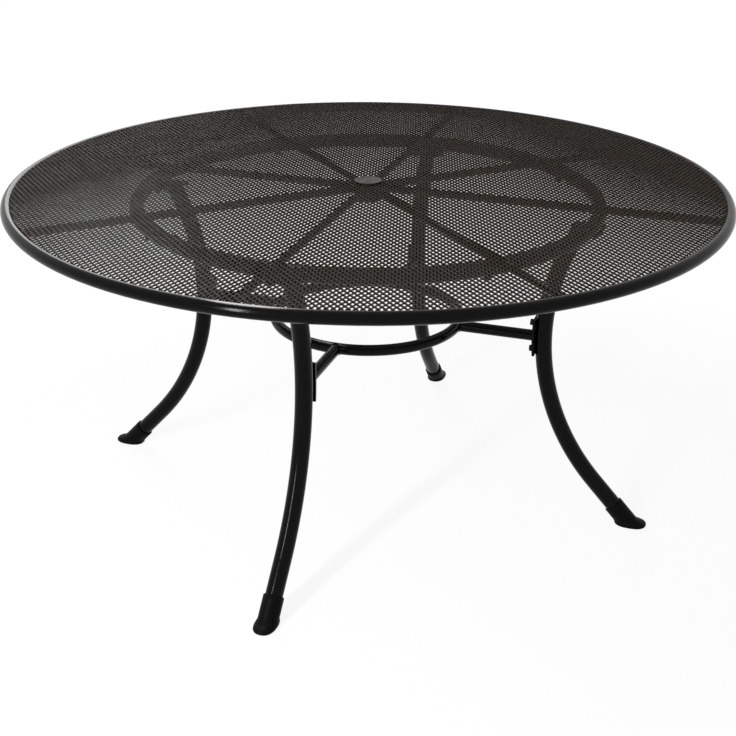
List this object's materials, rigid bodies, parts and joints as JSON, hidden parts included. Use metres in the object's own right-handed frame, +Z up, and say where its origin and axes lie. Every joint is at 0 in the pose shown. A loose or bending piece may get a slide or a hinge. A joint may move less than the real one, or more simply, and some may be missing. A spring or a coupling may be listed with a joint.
{
  "type": "garden table",
  "caption": "Round garden table: mesh top in a tube rim on radial spokes, bowed tube legs with plastic boots, a ring brace between them and a lift-out umbrella plug.",
  "frame": {"origin": "on the floor, on the axis of the round top", "axes": "+Z up along the table's axis; the legs stand on the diagonals of X and Y, so +X and +Y point between legs"},
  "size_m": [1.53, 1.5298, 0.733],
  "materials": {
    "frame_paint": "semi-gloss black powder coat",
    "mesh_paint": "satin black powder coat",
    "bolt_paint": "black coated steel",
    "boot_plastic": "fine-grained matte black plastic",
    "plug_plastic": "smooth dark grey plastic"
  },
  "bodies": {
    "table": {"rim_tube": "frame_paint", "mesh_sheet": "mesh_paint", "umbrella_sleeve": "frame_paint", "support_ring": "frame_paint", "brace_ring": "frame_paint", "brace_bolts": "bolt_paint", "leg_bolts": "bolt_paint", "top_bolts": "bolt_paint", "spoke_1": "frame_paint", "spoke_2": "frame_paint", "spoke_3": "frame_paint", "spoke_4": "frame_paint", "spoke_5": "frame_paint", "spoke_6": "frame_paint", "spoke_7": "frame_paint", "spoke_8": "frame_paint", "leg_1": "frame_paint", "leg_2": "frame_paint", "leg_3": "frame_paint", "leg_4": "frame_paint", "leg_top_plate_1": "frame_paint", "leg_top_plate_2": "frame_paint", "leg_top_plate_3": "frame_paint", "leg_top_plate_4": "frame_paint", "foot_1": "boot_plastic", "foot_2": "boot_plastic", "foot_3": "boot_plastic", "foot_4": "boot_plastic", "strut_1": "frame_paint", "strut_2": "frame_paint", "strut_3": "frame_paint", "strut_4": "frame_paint", "strut_plate_1": "frame_paint", "strut_plate_2": "frame_paint", "strut_plate_3": "frame_paint", "strut_plate_4": "frame_paint"},
    "plug": {"umbrella_plug": "plug_plastic"}
  },
  "joints": [
    {"name": "plug_lift", "type": "slide", "parent": "table", "child": "plug", "axis": [0, 0, 1], "range_m": [0, 0.03]}
  ]
}
